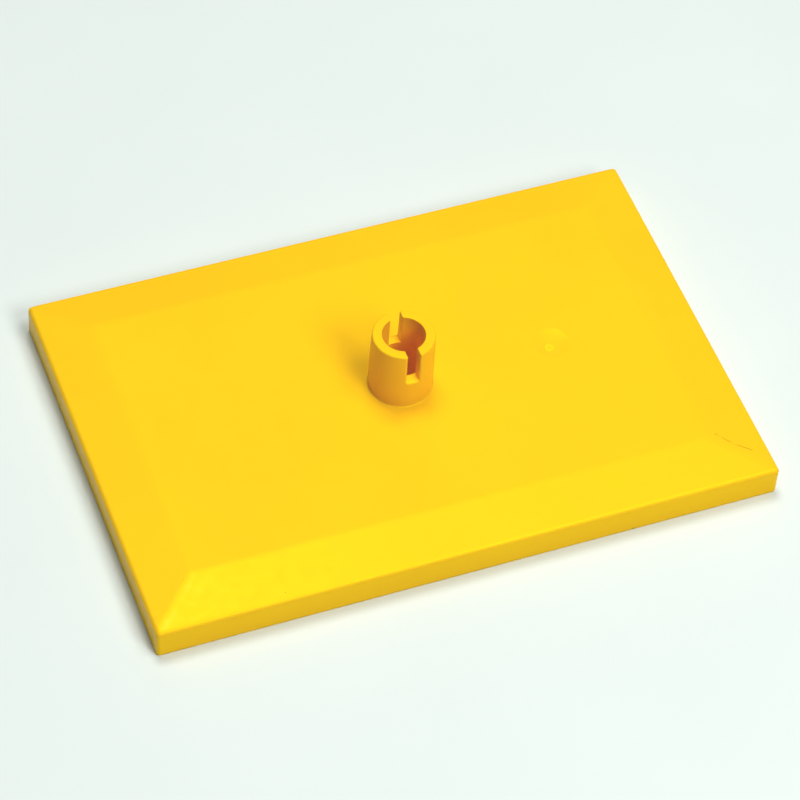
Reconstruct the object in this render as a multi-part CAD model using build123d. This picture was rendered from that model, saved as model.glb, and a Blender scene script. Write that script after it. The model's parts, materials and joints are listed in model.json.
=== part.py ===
"""Toy train bogie plate: a bevelled 6 by 4 module plate with a split swivel pin.

Frame: +Z up. The origin is on the pin's axis, in the plane that the skirt rests on.
X runs along the plate's long side. Lengths are in millimetres.
"""

from build123d import *
import os

# Construction grid
MODULE = 8.0
MODULES_LONG = 6
MODULES_WIDE = 4
GRID_PLAY = 0.2  # the plate stops short of its grid, so that neighbours don't bind

# Deck and skirt
PLATE_LENGTH = MODULE * MODULES_LONG - GRID_PLAY
PLATE_WIDTH = MODULE * MODULES_WIDE - GRID_PLAY
DECK_TOP = 3.2
SKIRT_TOP = 2.5  # height of the upright edge, where the bevel starts
FLAT_LENGTH = MODULE * (MODULES_LONG - 1)  # of the deck, between the bevels
BEVEL_WIDTH = (PLATE_LENGTH - FLAT_LENGTH) / 2
SKIRT_WALL = 1.5
CEILING = 2.0  # underside of the deck
CORNER_RADIUS = 0.3  # upright outer edges of the skirt
CREASE_RADIUS = 3.0  # soft edges round the flat deck and along the mitres
RIM_RADIUS = 0.35  # edge between skirt and bevel
FOOT_RADIUS = 0.1  # edges that the skirt and the tubes stand on
CAVITY_CORNER_RADIUS = 0.4

# Gate mark on the deck: a shallow dish with a small sheared nub inside, off its middle
DISH_PLACE = (12.1, 0.1)
DISH_RADIUS = 1.4
DISH_DEPTH = 0.12
NUB_PLACE = (11.78, -0.25)
NUB_RADIUS = 0.38
NUB_HEIGHT = 0.08  # in its middle, above the dish's lowest point
NUB_TILT = 6.0  # the sheared top leans towards -Y, in degrees
NUB_EDGE = 0.03
PIT_RADIUS = 0.14  # tear in the middle of the nub
PIT_DEPTH = 0.05

# Split pin
PIN_RADIUS = 2.4
PIN_BORE_RADIUS = 1.6  # goes right through the deck, into the middle clutch tube
PIN_TOP = DECK_TOP + 5.4
SLOT_WIDTH = 0.95
SLOT_FLOOR = 5.8
ROOT_FILLET = 0.12
SEAT_DEPTH = 0.3  # how far the pin's foot reaches down into the deck
SEAT_RADIUS = 2.75
LIP_RADIUS = 0.2  # rounding on the outer edge of each slot's floor
SLOT_EDGE = 0.12  # rounding on the slots' outer upright edges
FINE_EDGE = 0.06  # rounding on the slots' inner upright edges and on the rim

# Clutch tubes below the deck, at the crossings between stud places
TUBE_RADIUS = 3.255
TUBE_BORE_RADIUS = 2.4
TUBES_LONG = MODULES_LONG - 1
TUBES_WIDE = MODULES_WIDE - 1

BOTTOM_UP = (Align.CENTER, Align.CENTER, Align.MIN)
TOP_DOWN = (Align.CENTER, Align.CENTER, Align.MAX)
SEAT = DECK_TOP - SEAT_DEPTH
TOLERANCE = 0.01


def plate_section(half_span):
    """Skirt and bevel in cross-section: upright sides, sloping shoulders, flat top."""
    outline = Polyline(
        (-half_span, 0),
        (half_span, 0),
        (half_span, SKIRT_TOP),
        (half_span - BEVEL_WIDTH, DECK_TOP),
        (BEVEL_WIDTH - half_span, DECK_TOP),
        (-half_span, SKIRT_TOP),
        close=True,
    )
    return make_face(outline.edges())


def plate_blank():
    """Solid plate. The two extruded sections meet in mitres at the corners."""
    end_view = Plane.YZ * plate_section(PLATE_WIDTH / 2)
    side_view = Plane.XZ * plate_section(PLATE_LENGTH / 2)
    along_x = extrude(end_view, amount=PLATE_LENGTH / 2, both=True)
    along_y = extrude(side_view, amount=PLATE_WIDTH / 2, both=True)
    return along_x & along_y


def middle_height(edge):
    return (edge @ 0.5).Z


def from_axis(edge):
    """Distance of an edge's middle from the pin's axis."""
    middle = edge @ 0.5
    return (middle.X**2 + middle.Y**2) ** 0.5


def soften_outside(plate):
    """Rounds the upright corners, the creases of the deck, the rim and the foot."""
    corners = plate.edges().filter_by(Axis.Z)
    plate = fillet(corners, CORNER_RADIUS)
    creases = plate.edges().filter_by(lambda edge: middle_height(edge) > SKIRT_TOP + 0.2)
    plate = fillet(creases, CREASE_RADIUS)
    rim = plate.edges().filter_by(lambda edge: abs(middle_height(edge) - SKIRT_TOP) < 0.05)
    plate = fillet(rim, RIM_RADIUS)
    foot = plate.edges().filter_by(lambda edge: abs(middle_height(edge)) < TOLERANCE)
    return fillet(foot, FOOT_RADIUS)


def cavity():
    """Hollow under the deck, open at the bottom."""
    hollow = Box(
        PLATE_LENGTH - 2 * SKIRT_WALL,
        PLATE_WIDTH - 2 * SKIRT_WALL,
        CEILING,
        align=BOTTOM_UP,
    )
    return fillet(hollow.edges().filter_by(Axis.Z), CAVITY_CORNER_RADIUS)


def pin_opening():
    """What the pin takes out of the deck: its bore, and the wider seat of its foot."""
    bore = Cylinder(PIN_BORE_RADIUS, DECK_TOP, align=BOTTOM_UP)
    seat = Pos(0, 0, SEAT) * Cylinder(SEAT_RADIUS, SEAT_DEPTH, align=BOTTOM_UP)
    return bore + seat


def gate_dish():
    """Spherical cap that the gate's dish takes out of the deck."""
    sphere_radius = (DISH_RADIUS**2 + DISH_DEPTH**2) / (2 * DISH_DEPTH)
    return Pos(*DISH_PLACE, DECK_TOP - DISH_DEPTH + sphere_radius) * Sphere(sphere_radius)


def gate_nub():
    """Low stub in the dish, sheared at a slant, with a torn pit in its middle."""
    root_depth = 0.1
    middle = root_depth + NUB_HEIGHT
    stub = Cylinder(NUB_RADIUS, 2 * middle, align=BOTTOM_UP)
    sheared_off = Box(4 * NUB_RADIUS, 4 * NUB_RADIUS, 2 * middle, align=BOTTOM_UP)
    stub -= Pos(0, 0, middle) * Rot(X=NUB_TILT) * sheared_off
    stub = fillet(stub.edges().group_by(Axis.Z)[-1], NUB_EDGE)
    stub -= Pos(0, 0, middle) * Cone(TOLERANCE, PIT_RADIUS, PIT_DEPTH, align=TOP_DOWN)
    return Pos(*NUB_PLACE, DECK_TOP - DISH_DEPTH - root_depth) * stub


def deck_plate():
    """Bevelled deck with its skirt walls, the pin's opening and the gate mark."""
    plate = soften_outside(plate_blank()) - cavity() - pin_opening()
    plate = plate - gate_dish() + gate_nub()
    inner_foot = plate.faces().sort_by(Axis.Z)[0].inner_wires()[0].edges()
    return fillet(inner_foot, FOOT_RADIUS)


def slot_lips():
    """Corner left outside the rounding, at the outer edge of both slots' floors."""
    with BuildPart() as corner:
        with BuildSketch(Plane.XZ):
            with BuildLine():
                Polyline(
                    (PIN_RADIUS - LIP_RADIUS, SLOT_FLOOR),
                    (PIN_RADIUS, SLOT_FLOOR),
                    (PIN_RADIUS, SLOT_FLOOR - LIP_RADIUS),
                )
                RadiusArc(
                    (PIN_RADIUS - LIP_RADIUS, SLOT_FLOOR),
                    (PIN_RADIUS, SLOT_FLOOR - LIP_RADIUS),
                    LIP_RADIUS,
                )
            make_face()
        revolve(axis=Axis.Z)
    slots = Pos(0, 0, SLOT_FLOOR) * Box(SLOT_WIDTH, 4 * PIN_RADIUS, 2 * LIP_RADIUS + TOLERANCE)
    return corner.part & slots


def pin_root():
    """Lower ring of the pin, below the slots. Its foot sits in the deck."""
    with BuildPart() as root:
        with BuildSketch(Plane.XZ):
            with BuildLine():
                Polyline(
                    (PIN_RADIUS, DECK_TOP + ROOT_FILLET),
                    (PIN_RADIUS, SLOT_FLOOR),
                    (PIN_BORE_RADIUS, SLOT_FLOOR),
                    (PIN_BORE_RADIUS, SEAT),
                    (SEAT_RADIUS, SEAT),
                    (SEAT_RADIUS, DECK_TOP),
                    (PIN_RADIUS + ROOT_FILLET, DECK_TOP),
                )
                RadiusArc(
                    (PIN_RADIUS + ROOT_FILLET, DECK_TOP),
                    (PIN_RADIUS, DECK_TOP + ROOT_FILLET),
                    ROOT_FILLET,
                )
            make_face()
        revolve(axis=Axis.Z)
    return root.part - slot_lips()


def pin_half(side):
    """Springing half of the pin on one side of the slots; side is -1 or 1 along X."""
    height = PIN_TOP - SLOT_FLOOR
    ring = Cylinder(PIN_RADIUS, height, align=BOTTOM_UP)
    ring -= Cylinder(PIN_BORE_RADIUS, height, align=BOTTOM_UP)
    reach = 2 * PIN_RADIUS
    half_space = Pos(side * (SLOT_WIDTH / 2 + reach / 2), 0, 0) * Box(
        reach, 2 * reach, height, align=BOTTOM_UP
    )
    half = Pos(0, 0, SLOT_FLOOR) * (ring & half_space)
    upright = half.edges().filter_by(Axis.Z)
    inner = upright.filter_by(lambda edge: from_axis(edge) < PIN_BORE_RADIUS + TOLERANCE)
    half = fillet(inner, FINE_EDGE)
    upright = half.edges().filter_by(Axis.Z)
    outer = upright.filter_by(lambda edge: from_axis(edge) > PIN_RADIUS - TOLERANCE)
    half = fillet(outer, SLOT_EDGE)
    rim = half.faces().sort_by(Axis.Z)[-1].edges()
    return fillet(rim, FINE_EDGE)


def tube():
    """One clutch tube, with its foot edges rounded."""
    body = Cylinder(TUBE_RADIUS, CEILING, align=BOTTOM_UP)
    body -= Cylinder(TUBE_BORE_RADIUS, CEILING, align=BOTTOM_UP)
    return fillet(body.edges().group_by(Axis.Z)[0], FOOT_RADIUS)


def underside_tubes():
    """All the clutch tubes, one separate solid each."""
    places = GridLocations(MODULE, MODULE, TUBES_LONG, TUBES_WIDE)
    return Compound(children=[place * tube() for place in places])


SUBPARTS = {
    "deck_plate": deck_plate(),
    "pin_root": pin_root(),
    "pin_half_left": pin_half(-1),
    "pin_half_right": pin_half(1),
    "underside_tubes": underside_tubes(),
}

os.makedirs("parts", exist_ok=True)
for node, shape in SUBPARTS.items():
    export_step(shape, f"parts/{node}.step")
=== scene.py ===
"""Looks of the toy train bogie plate: moulded ABS finish, a split pin rebuilt in rings, and a pale
studio.

Lengths are in metres, in the CAD frame, and MM turns millimetres into metres. The marks in
the plastic are placed in millimetres, because its textures are scaled in millimetres too.
"""

import json
import math

import bmesh
import bpy
from mathutils import Matrix, Vector


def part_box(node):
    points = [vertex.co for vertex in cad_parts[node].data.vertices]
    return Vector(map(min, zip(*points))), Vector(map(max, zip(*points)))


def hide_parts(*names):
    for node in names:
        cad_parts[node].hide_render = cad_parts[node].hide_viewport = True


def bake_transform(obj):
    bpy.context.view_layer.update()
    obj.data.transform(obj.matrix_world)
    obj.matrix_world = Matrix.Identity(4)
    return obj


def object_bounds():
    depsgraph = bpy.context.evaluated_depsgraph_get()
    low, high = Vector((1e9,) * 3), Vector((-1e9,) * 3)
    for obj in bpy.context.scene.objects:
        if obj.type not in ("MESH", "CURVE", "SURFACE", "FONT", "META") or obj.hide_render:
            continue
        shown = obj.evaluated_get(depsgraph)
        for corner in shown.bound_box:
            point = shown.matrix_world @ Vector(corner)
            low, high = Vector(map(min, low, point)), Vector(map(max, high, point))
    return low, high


MM = 0.001

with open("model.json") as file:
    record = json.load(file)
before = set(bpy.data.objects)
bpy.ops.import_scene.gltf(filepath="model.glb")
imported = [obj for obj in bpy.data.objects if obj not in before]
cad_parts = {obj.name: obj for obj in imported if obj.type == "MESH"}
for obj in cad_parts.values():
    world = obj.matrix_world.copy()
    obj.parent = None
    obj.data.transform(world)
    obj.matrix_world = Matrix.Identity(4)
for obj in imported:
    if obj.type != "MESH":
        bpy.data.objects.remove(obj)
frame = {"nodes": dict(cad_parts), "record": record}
cad_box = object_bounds()


# ---------------------------------------------------------------- split pin

SLOT_EDGE = 0.12 * MM  # rounding on the slots' outer upright edges
FINE_EDGE = 0.06 * MM  # rounding on the slots' inner upright edges and inside the rim
RIM_EDGE = 0.12 * MM  # rounding outside the rim
PIN_TAPER = 0.07 * MM  # how much slimmer the pin is at its rim than at the slots' floor
SHARPEST = 0.002 * MM  # where two roundings meet at a corner of the rim
ARC_STEPS = 48  # along each half's outer and inner wall
CORNER_STEPS = 5  # round each upright edge
STRAIGHT_RINGS = 12  # up the wall, which a bend would need
RIM_RINGS = 8  # over the rim's rounding
CREASE_ANGLE = math.radians(40)  # edges sharper than this aren't smoothed


def mount_radius(name):
    """Radius of a round mount in the record."""
    mount = next(m for m in frame["record"]["mounts"] if m["name"] == name)
    return mount["dims"]["r_mm"] * MM


def turned(x, y, radius, start, end):
    """Points of a small rounding about (x, y), both of its ends included."""
    angles = [start + (end - start) * i / CORNER_STEPS for i in range(CORNER_STEPS + 1)]
    return [(x + radius * math.cos(a), y + radius * math.sin(a)) for a in angles]


def wall_arc(radius, start, end):
    """Points of a wall about the pin's axis, both of its ends left out."""
    angles = [start + (end - start) * i / ARC_STEPS for i in range(1, ARC_STEPS)]
    return [(radius * math.cos(a), radius * math.sin(a)) for a in angles]


def slotted_ring_outline(side, outer, inner, gap, outer_edge, inner_edge):
    """Outline of one half of the slotted ring as (x, y) pairs, counter-clockwise for side 1.

    gap is half the slot's width. The outer arc comes first, then a slot face, the
    inner arc, and the other slot face, so that equal calls give matching points.
    """
    outer_x = gap + outer_edge
    outer_y = math.sqrt((outer - outer_edge) ** 2 - outer_x**2)
    outer_angle = math.atan2(outer_y, outer_x)
    inner_x = gap + inner_edge
    inner_y = math.sqrt((inner + inner_edge) ** 2 - inner_x**2)
    inner_angle = math.atan2(inner_y, inner_x)
    top = turned(outer_x, outer_y, outer_edge, outer_angle, math.pi)
    top += turned(inner_x, inner_y, inner_edge, math.pi, math.pi + inner_angle)
    bottom = [(x, -y) for x, y in reversed(top)]
    points = wall_arc(outer, -outer_angle, outer_angle) + top
    points += wall_arc(inner, inner_angle, -inner_angle) + bottom
    return [(side * x, y) for x, y in points]


def drawn_in(radius, below_top):
    """How far an edge rounded to a radius has drawn in, at a depth below the top face."""
    rise = max(0.0, radius - below_top)
    return radius - math.sqrt(radius**2 - rise**2)


def ring_depths(length):
    """Depths below the rim at which a half has a ring of points, from the lowest up."""
    straight = length - RIM_EDGE
    depths = [length - straight * i / STRAIGHT_RINGS for i in range(STRAIGHT_RINGS + 1)]
    turns = [math.pi / 2 * i / RIM_RINGS for i in range(1, RIM_RINGS + 1)]
    return depths + [RIM_EDGE * (1 - math.sin(turn)) for turn in turns]


def half_ring(mesh, side, low, high, gap, depth):
    """Points of one half, in mesh, at a depth below its rim."""
    length = high - low
    outside, inside = drawn_in(RIM_EDGE, depth), drawn_in(FINE_EDGE, depth)
    outline = slotted_ring_outline(
        side,
        mount_radius("swivel_pin") - PIN_TAPER * (1 - depth / length) - outside,
        mount_radius("pin_bore") + inside,
        gap + inside,
        max(SLOT_EDGE - outside, SHARPEST),
        max(FINE_EDGE - inside, SHARPEST),
    )
    return [mesh.verts.new((x, y, high - depth)) for x, y in outline]


def close_end(mesh, loop, turn):
    """Covers the bottom (turn -1) or the rim (turn 1) of a half with faces across its wall."""
    arc_points = ARC_STEPS - 1
    end_points = 2 * (CORNER_STEPS + 1)
    outer_arc = loop[:arc_points]
    first_end = loop[arc_points : arc_points + end_points]
    inner_arc = loop[arc_points + end_points : 2 * arc_points + end_points][::-1]
    second_end = loop[2 * arc_points + end_points :]
    for i in range(arc_points - 1):
        face = (outer_arc[i], outer_arc[i + 1], inner_arc[i + 1], inner_arc[i])
        mesh.faces.new(face[::turn])
    mesh.faces.new(([outer_arc[-1]] + first_end + [inner_arc[-1]])[::turn])
    mesh.faces.new(([inner_arc[0]] + second_end + [outer_arc[0]])[::turn])


def new_piece(name, mesh):
    """Object made of a bmesh, which is used up."""
    data = bpy.data.meshes.new(name)
    mesh.to_mesh(data)
    mesh.free()
    piece = bpy.data.objects.new(name, data)
    bpy.context.scene.collection.objects.link(piece)
    return piece


def pin_half(name, node, side):
    """Rebuilds one springing half of the pin with rings up its height, which a bend would need.

    node is the CAD node it stands for, which is also the name of its body.
    """
    low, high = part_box(node)
    gap = min(abs(low.x), abs(high.x))
    mesh = bmesh.new()
    depths = ring_depths(high.z - low.z)
    loops = [half_ring(mesh, side, low.z, high.z, gap, depth) for depth in depths]
    for below, above in zip(loops, loops[1:]):
        for i in range(len(below)):
            j = (i + 1) % len(below)
            mesh.faces.new((below[i], below[j], above[j], above[i]))
    close_end(mesh, loops[0], -1)
    close_end(mesh, loops[-1], 1)
    bmesh.ops.recalc_face_normals(mesh, faces=mesh.faces)
    piece = new_piece(name, mesh)
    piece.data.shade_smooth()
    piece.data.set_sharp_from_angle(angle=CREASE_ANGLE)
    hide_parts(node)
    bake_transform(piece)
    return piece


# ---------------------------------------------------------------- materials


class Nodes:
    """Short calls for building a node tree."""

    def __init__(self, owner):
        owner.use_nodes = True
        self.tree = owner.node_tree
        self.tree.nodes.clear()

    def add(self, kind, **inputs):
        node = self.tree.nodes.new(kind)
        for key, value in inputs.items():
            self.set(node, key.replace("_", " "), value)
        return node

    def set(self, node, socket, value):
        target = node.inputs[socket]
        if isinstance(value, bpy.types.NodeSocket):
            self.tree.links.new(value, target)
        else:
            target.default_value = value

    def maths(self, operation, a, b=0.0, c=0.0, clamp=False):
        node = self.tree.nodes.new("ShaderNodeMath")
        node.operation = operation
        node.use_clamp = clamp
        for i, value in enumerate((a, b, c)):
            self.set(node, i, value)
        return node.outputs[0]

    def vector(self, operation, a, b, result=0):
        """b is a vector, or a number for SCALE. result is the output's place or name."""
        node = self.tree.nodes.new("ShaderNodeVectorMath")
        node.operation = operation
        self.set(node, 0, a)
        self.set(node, "Scale" if operation == "SCALE" else 1, b)
        return node.outputs[result]

    def noise(self, coordinates, fineness, detail=2.0):
        """Smooth noise about 0.5. Fineness is in features per unit of the coordinates."""
        node = self.add("ShaderNodeTexNoise", Vector=coordinates, Scale=fineness, Detail=detail)
        return node.outputs[0]

    def ramp(self, value, low, high, to_low=0.0, to_high=1.0):
        """Maps low..high onto to_low..to_high, clamped."""
        node = self.tree.nodes.new("ShaderNodeMapRange")
        for key, number in (
            ("Value", value),
            ("From Min", low),
            ("From Max", high),
            ("To Min", to_low),
            ("To Max", to_high),
        ):
            self.set(node, key, number)
        return node.outputs[0]

    def mix(self, factor, a, b):
        node = self.tree.nodes.new("ShaderNodeMix")
        node.data_type = "RGBA"
        self.set(node, 0, factor)
        for index, colour in ((6, a), (7, b)):
            self.set(node, index, colour)
        return node.outputs[2]


ABS_TINTS = ((0.97, 0.55, 0.005, 1), (0.985, 0.57, 0.007, 1))
ABS_IOR = 1.52
GLARE_TINT = (1.0, 0.86, 0.15, 1)  # tint of what the plastic mirrors where it's seen face on
ROUGHNESS = (0.30, 0.38)  # least and most
SEE_IN = 0.06  # share of the light that travels on inside the plastic
SEE_IN_REACH = (0.48, 0.40, 0.04)  # how far red, green and blue travel in it, in millimetres

# Noise in the moulded surface. Each fineness is in features per millimetre.
DRIFT_FINENESS = 0.09  # slow change of colour
PEEL_FINENESS, PEEL_HEIGHT = 1.1, 0.006 * MM  # soft ripples, like the skin of an orange
SKIN_FINENESS, SKIN_HEIGHT = 9.0, 0.0012 * MM  # fine grain over the ripples
SCUFF_FINENESS = 7.0  # across the rubbed lines
SCUFF_STRETCH = 0.35  # fineness along the lines, as a share of that across them
SCUFF_HEADINGS = (0.5, 2.2)  # which way the lines run, in radians from +X
SCUFF_PATCHINESS = 0.25  # fineness of the patches that hold scuffs
SCUFF_ROUGHNESS = 0.06  # what a scuff adds
DASH_FINENESS = 2.2  # breaks in the scratch
RAGGED_FINENESS = 5.0  # edges of the small marks

# Hairline scratch where the near and right bevels meet, as X and Y in millimetres from the
# middle of the plate: two straight strokes
SCRATCH = ((20.39, -11.68), (21.42, -12.86), (22.55, -13.65))
SCRATCH_WIDTH = 0.055
SCRATCH_DEPTH = 0.02 * MM
# The scratch's dark tint is painted shade, standing for the shadow in its groove
SCRATCH_PAINTED_SHADE, SCRATCH_SHADE_COVER = (0.42, 0.20, 0.004, 1), 0.6
# Stub that the mould's gate left in its dish on the deck, where the torn plastic is paler
GATE_STUB = (11.78, -0.25)
GATE_STUB_RADIUS = 0.38
TORN_TINT, TORN_COVER = (0.98, 0.70, 0.03, 1), 0.5
# Specks of dirt as (X, Y, Z) and radius: one at the foot of the near skirt, one on the near bevel
SPECKS = (((12.45, -15.9, 0.1), 0.11), ((-14.2, -15.2, 2.6), 0.06))
SPECK_TINT, SPECK_COVER = (0.16, 0.12, 0.03, 1), 0.7
MARK_HEIGHT = 2.4  # the scratch and the torn stub lie higher than this, in millimetres


def line_distance(n, point, start, end):
    """Distance, seen from above, from a point to the straight stroke from start to end."""
    run = Vector((end[0] - start[0], end[1] - start[1], 0))
    flat = n.vector("MULTIPLY", point, (1, 1, 0))
    offset = n.vector("SUBTRACT", flat, (*start, 0))
    progress = n.vector("DOT_PRODUCT", offset, run, "Value")
    along = n.maths("DIVIDE", progress, run.length_squared, clamp=True)
    return n.vector("DISTANCE", offset, n.vector("SCALE", run, along), "Value")


def on_top(n, point):
    """1 above MARK_HEIGHT and 0 below it, which keeps marks on the deck off the underside."""
    height = n.vector("DOT_PRODUCT", point, (0, 0, 1), "Value")
    return n.ramp(height, MARK_HEIGHT - 0.1, MARK_HEIGHT)


def scratch_and_shade_mask(n, point):
    """1 in the middle of the hairline scratch and 0 off it, broken up into dashes. It places both the
    cut and the scratch's painted shade.
    """
    near = n.maths("MINIMUM", *(line_distance(n, point, a, b) for a, b in zip(SCRATCH, SCRATCH[1:])))
    line = n.ramp(near, SCRATCH_WIDTH * 0.4, SCRATCH_WIDTH, 1.0, 0.0)
    dashes = n.ramp(n.noise(point, DASH_FINENESS, 1.0), 0.40, 0.52, 0.25, 1.0)
    return n.maths("MULTIPLY", n.maths("MULTIPLY", line, dashes), on_top(n, point))


def spot_mask(n, point, middle, radius):
    """1 inside a round spot and 0 outside, with a soft ragged edge."""
    ragged = n.ramp(n.noise(point, RAGGED_FINENESS), 0.3, 0.7, -0.25 * radius, 0.25 * radius)
    reach = n.maths("ADD", n.vector("DISTANCE", point, middle, "Value"), ragged)
    return n.ramp(reach, 0.7 * radius, 1.1 * radius, 1.0, 0.0)


def scuff_mask(n, point, heading):
    """Fine rubbed lines, all along one heading in the deck's plane, that fade in and out."""
    along = n.vector("DOT_PRODUCT", point, (math.cos(heading), math.sin(heading), 0), "Value")
    across = n.vector("DOT_PRODUCT", point, (-math.sin(heading), math.cos(heading), 0), "Value")
    stretched = n.add("ShaderNodeCombineXYZ", X=n.maths("MULTIPLY", along, SCUFF_STRETCH), Y=across)
    lines = n.ramp(n.noise(stretched.outputs[0], SCUFF_FINENESS), 0.62, 0.72)
    patches = n.ramp(n.noise(point, SCUFF_PATCHINESS), 0.50, 0.62)
    return n.maths("MULTIPLY", lines, patches)


def gate_mask(n, point):
    """Torn top of the gate's stub."""
    flat = n.vector("MULTIPLY", point, (1, 1, 0))
    stub = spot_mask(n, flat, (*GATE_STUB, 0), GATE_STUB_RADIUS)
    return n.maths("MULTIPLY", stub, on_top(n, point))


def abs_colour(n, point, scratch_and_shade):
    """Yellow that drifts slowly, with the scratch's painted shade, the torn stub and the specks laid
    over it.
    """
    drift = n.noise(point, DRIFT_FINENESS, 3.0)
    colour = n.mix(n.ramp(drift, 0.35, 0.65), *ABS_TINTS)
    # painted shade along the scratch's groove
    colour = n.mix(n.maths("MULTIPLY", scratch_and_shade, SCRATCH_SHADE_COVER), colour, SCRATCH_PAINTED_SHADE)
    colour = n.mix(n.maths("MULTIPLY", gate_mask(n, point), TORN_COVER), colour, TORN_TINT)
    for middle, radius in SPECKS:
        speck = n.maths("MULTIPLY", spot_mask(n, point, middle, radius), SPECK_COVER)
        colour = n.mix(speck, colour, SPECK_TINT)
    return colour


def abs_roughness(n, point, peel):
    """Satin that varies with the moulded surface and is duller along the scuffs."""
    scuffs = n.maths("MAXIMUM", *(scuff_mask(n, point, heading) for heading in SCUFF_HEADINGS))
    return n.maths("MULTIPLY_ADD", scuffs, SCUFF_ROUGHNESS, n.ramp(peel, 0.3, 0.7, *ROUGHNESS))


def abs_relief(n, point, peel, scratch_and_shade):
    """Height of the moulded surface, with the scratch cut into it."""
    skin = n.noise(point, SKIN_FINENESS, 3.0)
    height = n.maths("MULTIPLY_ADD", skin, SKIN_HEIGHT, n.maths("MULTIPLY", peel, PEEL_HEIGHT))
    return n.maths("MULTIPLY_ADD", scratch_and_shade, -SCRATCH_DEPTH, height)


def abs_plastic():
    """Bright yellow moulded ABS, satin to gloss, lightly worn."""
    material = bpy.data.materials.new("yellow_abs_worn")
    n = Nodes(material)
    place = n.add("ShaderNodeTexCoord").outputs["Object"]
    point = n.vector("SCALE", place, 1 / MM)  # place in millimetres
    scratch_and_shade = scratch_and_shade_mask(n, point)
    peel = n.noise(point, PEEL_FINENESS)
    relief = abs_relief(n, point, peel, scratch_and_shade)
    bump = n.add("ShaderNodeBump", Height=relief, Strength=1.0, Distance=1.0)
    shader = n.add(
        "ShaderNodeBsdfPrincipled",
        Base_Color=abs_colour(n, point, scratch_and_shade),
        Roughness=abs_roughness(n, point, peel),
        IOR=ABS_IOR,
        Normal=bump.outputs[0],
        Specular_Tint=GLARE_TINT,
        Subsurface_Weight=SEE_IN,
        Subsurface_Radius=SEE_IN_REACH,
        Subsurface_Scale=MM,
    )
    n.add("ShaderNodeOutputMaterial", Surface=shader.outputs[0])
    return material


def dress(pieces, material):
    """Gives every piece the one material."""
    for piece in pieces:
        piece.data.materials.clear()
        piece.data.materials.append(material)


# ---------------------------------------------------------------- stage

FLOOR_GAP = 0.01 * MM  # between the plate's foot and the floor
FLOOR_RADIUS = 3.0
FLOOR_TINTS = ((0.705, 0.775, 0.737, 1), (0.72, 0.79, 0.752, 1))
FLOOR_MOTTLE = 60.0  # fineness, in features per metre
FLOOR_ROUGHNESS, FLOOR_MIRROR = 0.7, 0.2  # matt, and less of a mirror than plastic is
HAZE = (0.93, 1.0, 0.965, 1)  # tint of the studio's pale surroundings
BACKDROP = 0.84  # how bright the backdrop looks; it sheds no light on the object
GLOW_REACH = (0.10, 0.45)  # how far from its middle the floor starts, and ends, turning into backdrop
ALL_ROUND = 0.008  # strength of the dim light from every side

# Round softboxes that face the object: name, azimuth and elevation in degrees, distance and
# width in metres, power in watts
SOFTBOXES = (
    ("key", 18, 46, 0.35, 0.14, 0.54),
    ("overhead", 176, 75, 0.5, 0.2, 1.29),
    ("right", 50, 69, 0.5, 0.22, 0.92),
    ("left", 205, 60, 0.5, 0.2, 0.12),
    ("far", 158, 36, 0.5, 0.17, 0.10),
)
BOUNCES = 8  # enough for light to find its way down the pin's bore

# Camera: a long lens, high and to the left of the plate's front, leaning a little
CAMERA_AZIMUTH, CAMERA_ELEVATION, CAMERA_ROLL = -23.90, 50.59, 4.74
CAMERA_DISTANCE = 263.2 * MM
CAMERA_TARGET = Vector((0.45, 0.74, 0.0)) * MM
SENSOR_WIDTH, FOCAL_LENGTH = 36.0, 158.50  # in millimetres
DARKEST_BLUE = 0.0176  # as low as the camera's blue goes


def card_material():
    """Pale matt card, faintly mottled, that melts into the backdrop far from the object."""
    material = bpy.data.materials.new("pale_card")
    n = Nodes(material)
    place = n.add("ShaderNodeTexCoord").outputs["Object"]
    mottle = n.noise(place, FLOOR_MOTTLE)
    colour = n.mix(n.ramp(mottle, 0.3, 0.7), *FLOOR_TINTS)
    card = n.add(
        "ShaderNodeBsdfPrincipled",
        Base_Color=colour,
        Roughness=FLOOR_ROUGHNESS,
        Specular_IOR_Level=FLOOR_MIRROR,
    )
    from_middle = n.vector("LENGTH", place, (0, 0, 0), "Value")
    seen = n.add("ShaderNodeLightPath").outputs["Is Camera Ray"]
    glow = n.maths("MULTIPLY", n.ramp(from_middle, *GLOW_REACH, 0.0, BACKDROP), seen)
    backdrop = n.add("ShaderNodeEmission", Color=HAZE, Strength=glow)
    both = n.add("ShaderNodeAddShader")
    n.set(both, 0, card.outputs[0])
    n.set(both, 1, backdrop.outputs[0])
    n.add("ShaderNodeOutputMaterial", Surface=both.outputs[0])
    return material


def floor():
    """Round floor just under the plate's foot."""
    mesh = bmesh.new()
    bmesh.ops.create_circle(mesh, cap_ends=True, radius=FLOOR_RADIUS, segments=96)
    piece = new_piece("floor", mesh)
    piece.location.z = cad_box[0].z - FLOOR_GAP
    piece.data.materials.append(card_material())


def direction(azimuth, elevation):
    """Unit vector from the object towards a place; azimuth 0 is in front, at -Y, and 90 at +X."""
    a, e = math.radians(azimuth), math.radians(elevation)
    return Vector((math.sin(a) * math.cos(e), -math.cos(a) * math.cos(e), math.sin(e)))


def softbox(name, azimuth, elevation, distance, width, power):
    """Round area light that faces the middle of the plate."""
    lamp = bpy.data.lights.new(name, "AREA")
    lamp.shape = "DISK"
    lamp.size = width
    lamp.energy = power
    holder = bpy.data.objects.new(name, lamp)
    back = direction(azimuth, elevation)
    holder.location = back * distance
    holder.rotation_mode = "QUATERNION"
    holder.rotation_quaternion = back.to_track_quat("Z", "Y")
    bpy.context.scene.collection.objects.link(holder)


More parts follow.
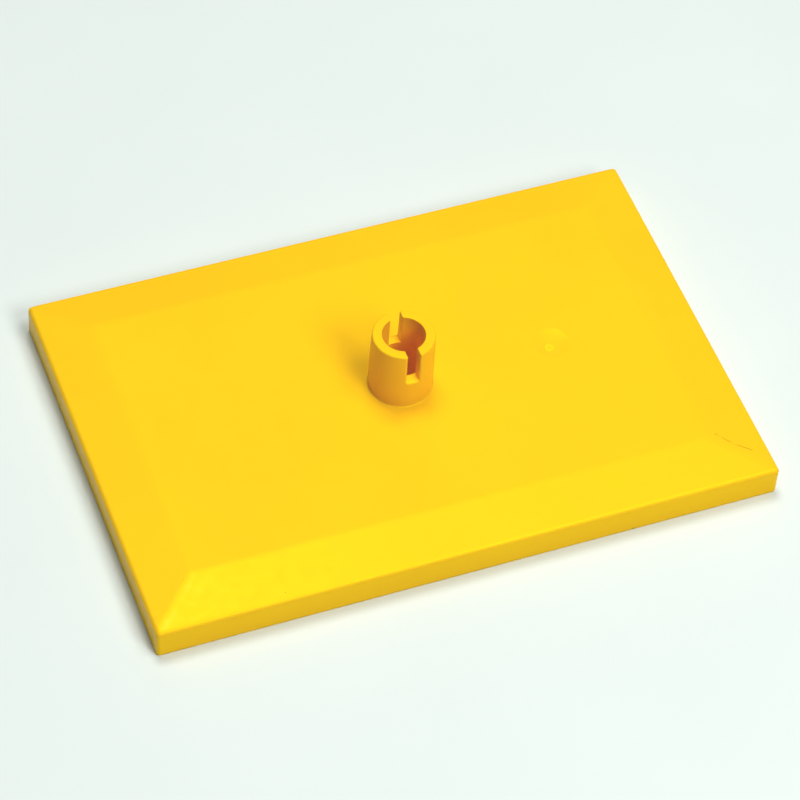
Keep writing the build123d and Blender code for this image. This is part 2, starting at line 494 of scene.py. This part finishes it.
def world_light():
    """Dim light from all round, behind a pale backdrop that only the camera sees."""
    world = bpy.data.worlds.new("studio")
    n = Nodes(world)
    seen = n.add("ShaderNodeLightPath").outputs["Is Camera Ray"]
    level = n.ramp(seen, 0.0, 1.0, ALL_ROUND, BACKDROP)
    background = n.add("ShaderNodeBackground", Color=HAZE, Strength=level)
    n.add("ShaderNodeOutputWorld", Surface=background.outputs[0])
    bpy.context.scene.world = world


def camera():
    """Camera that looks at its target from its azimuth and elevation, rolled about its view."""
    back = direction(CAMERA_AZIMUTH, CAMERA_ELEVATION)
    level = Vector((0, 0, 1)).cross(back).normalized()
    upright = back.cross(level)
    roll = math.radians(CAMERA_ROLL)
    right = level * math.cos(roll) + upright * math.sin(roll)
    top = upright * math.cos(roll) - level * math.sin(roll)
    data = bpy.data.cameras.new("camera")
    data.sensor_width = SENSOR_WIDTH
    data.lens = FOCAL_LENGTH
    data.clip_start, data.clip_end = 0.01, 20.0
    holder = bpy.data.objects.new("camera", data)
    turn = Matrix((right, top, back)).transposed().to_4x4()
    holder.matrix_world = Matrix.Translation(CAMERA_TARGET + back * CAMERA_DISTANCE) @ turn
    bpy.context.scene.collection.objects.link(holder)
    bpy.context.scene.camera = holder


def blue_floor():
    """Tone curve that lets no yellow fall below a set blue, as in a camera's picture."""
    settings = bpy.context.scene.view_settings
    settings.view_transform = "Standard"
    settings.use_curve_mapping = True
    curve = settings.curve_mapping.curves[2]
    # Level at first, then up again, nearly to where the curve would run without this
    curve.points[0].location = (0.0, DARKEST_BLUE)
    curve.points.new(2.5 * DARKEST_BLUE, DARKEST_BLUE)
    curve.points.new(5 * DARKEST_BLUE, 4.5 * DARKEST_BLUE)
    for point in curve.points:
        point.handle_type = "VECTOR"
    settings.curve_mapping.update()


# ---------------------------------------------------------------- build

halves = [
    pin_half("pin_half_left_skin", "pin_half_left", -1),
    pin_half("pin_half_right_skin", "pin_half_right", 1),
]
dress(list(frame["nodes"].values()) + halves, abs_plastic())

floor()
for box in SOFTBOXES:
    softbox(*box)
world_light()
camera()
blue_floor()
bpy.context.scene.cycles.diffuse_bounces = BOUNCES
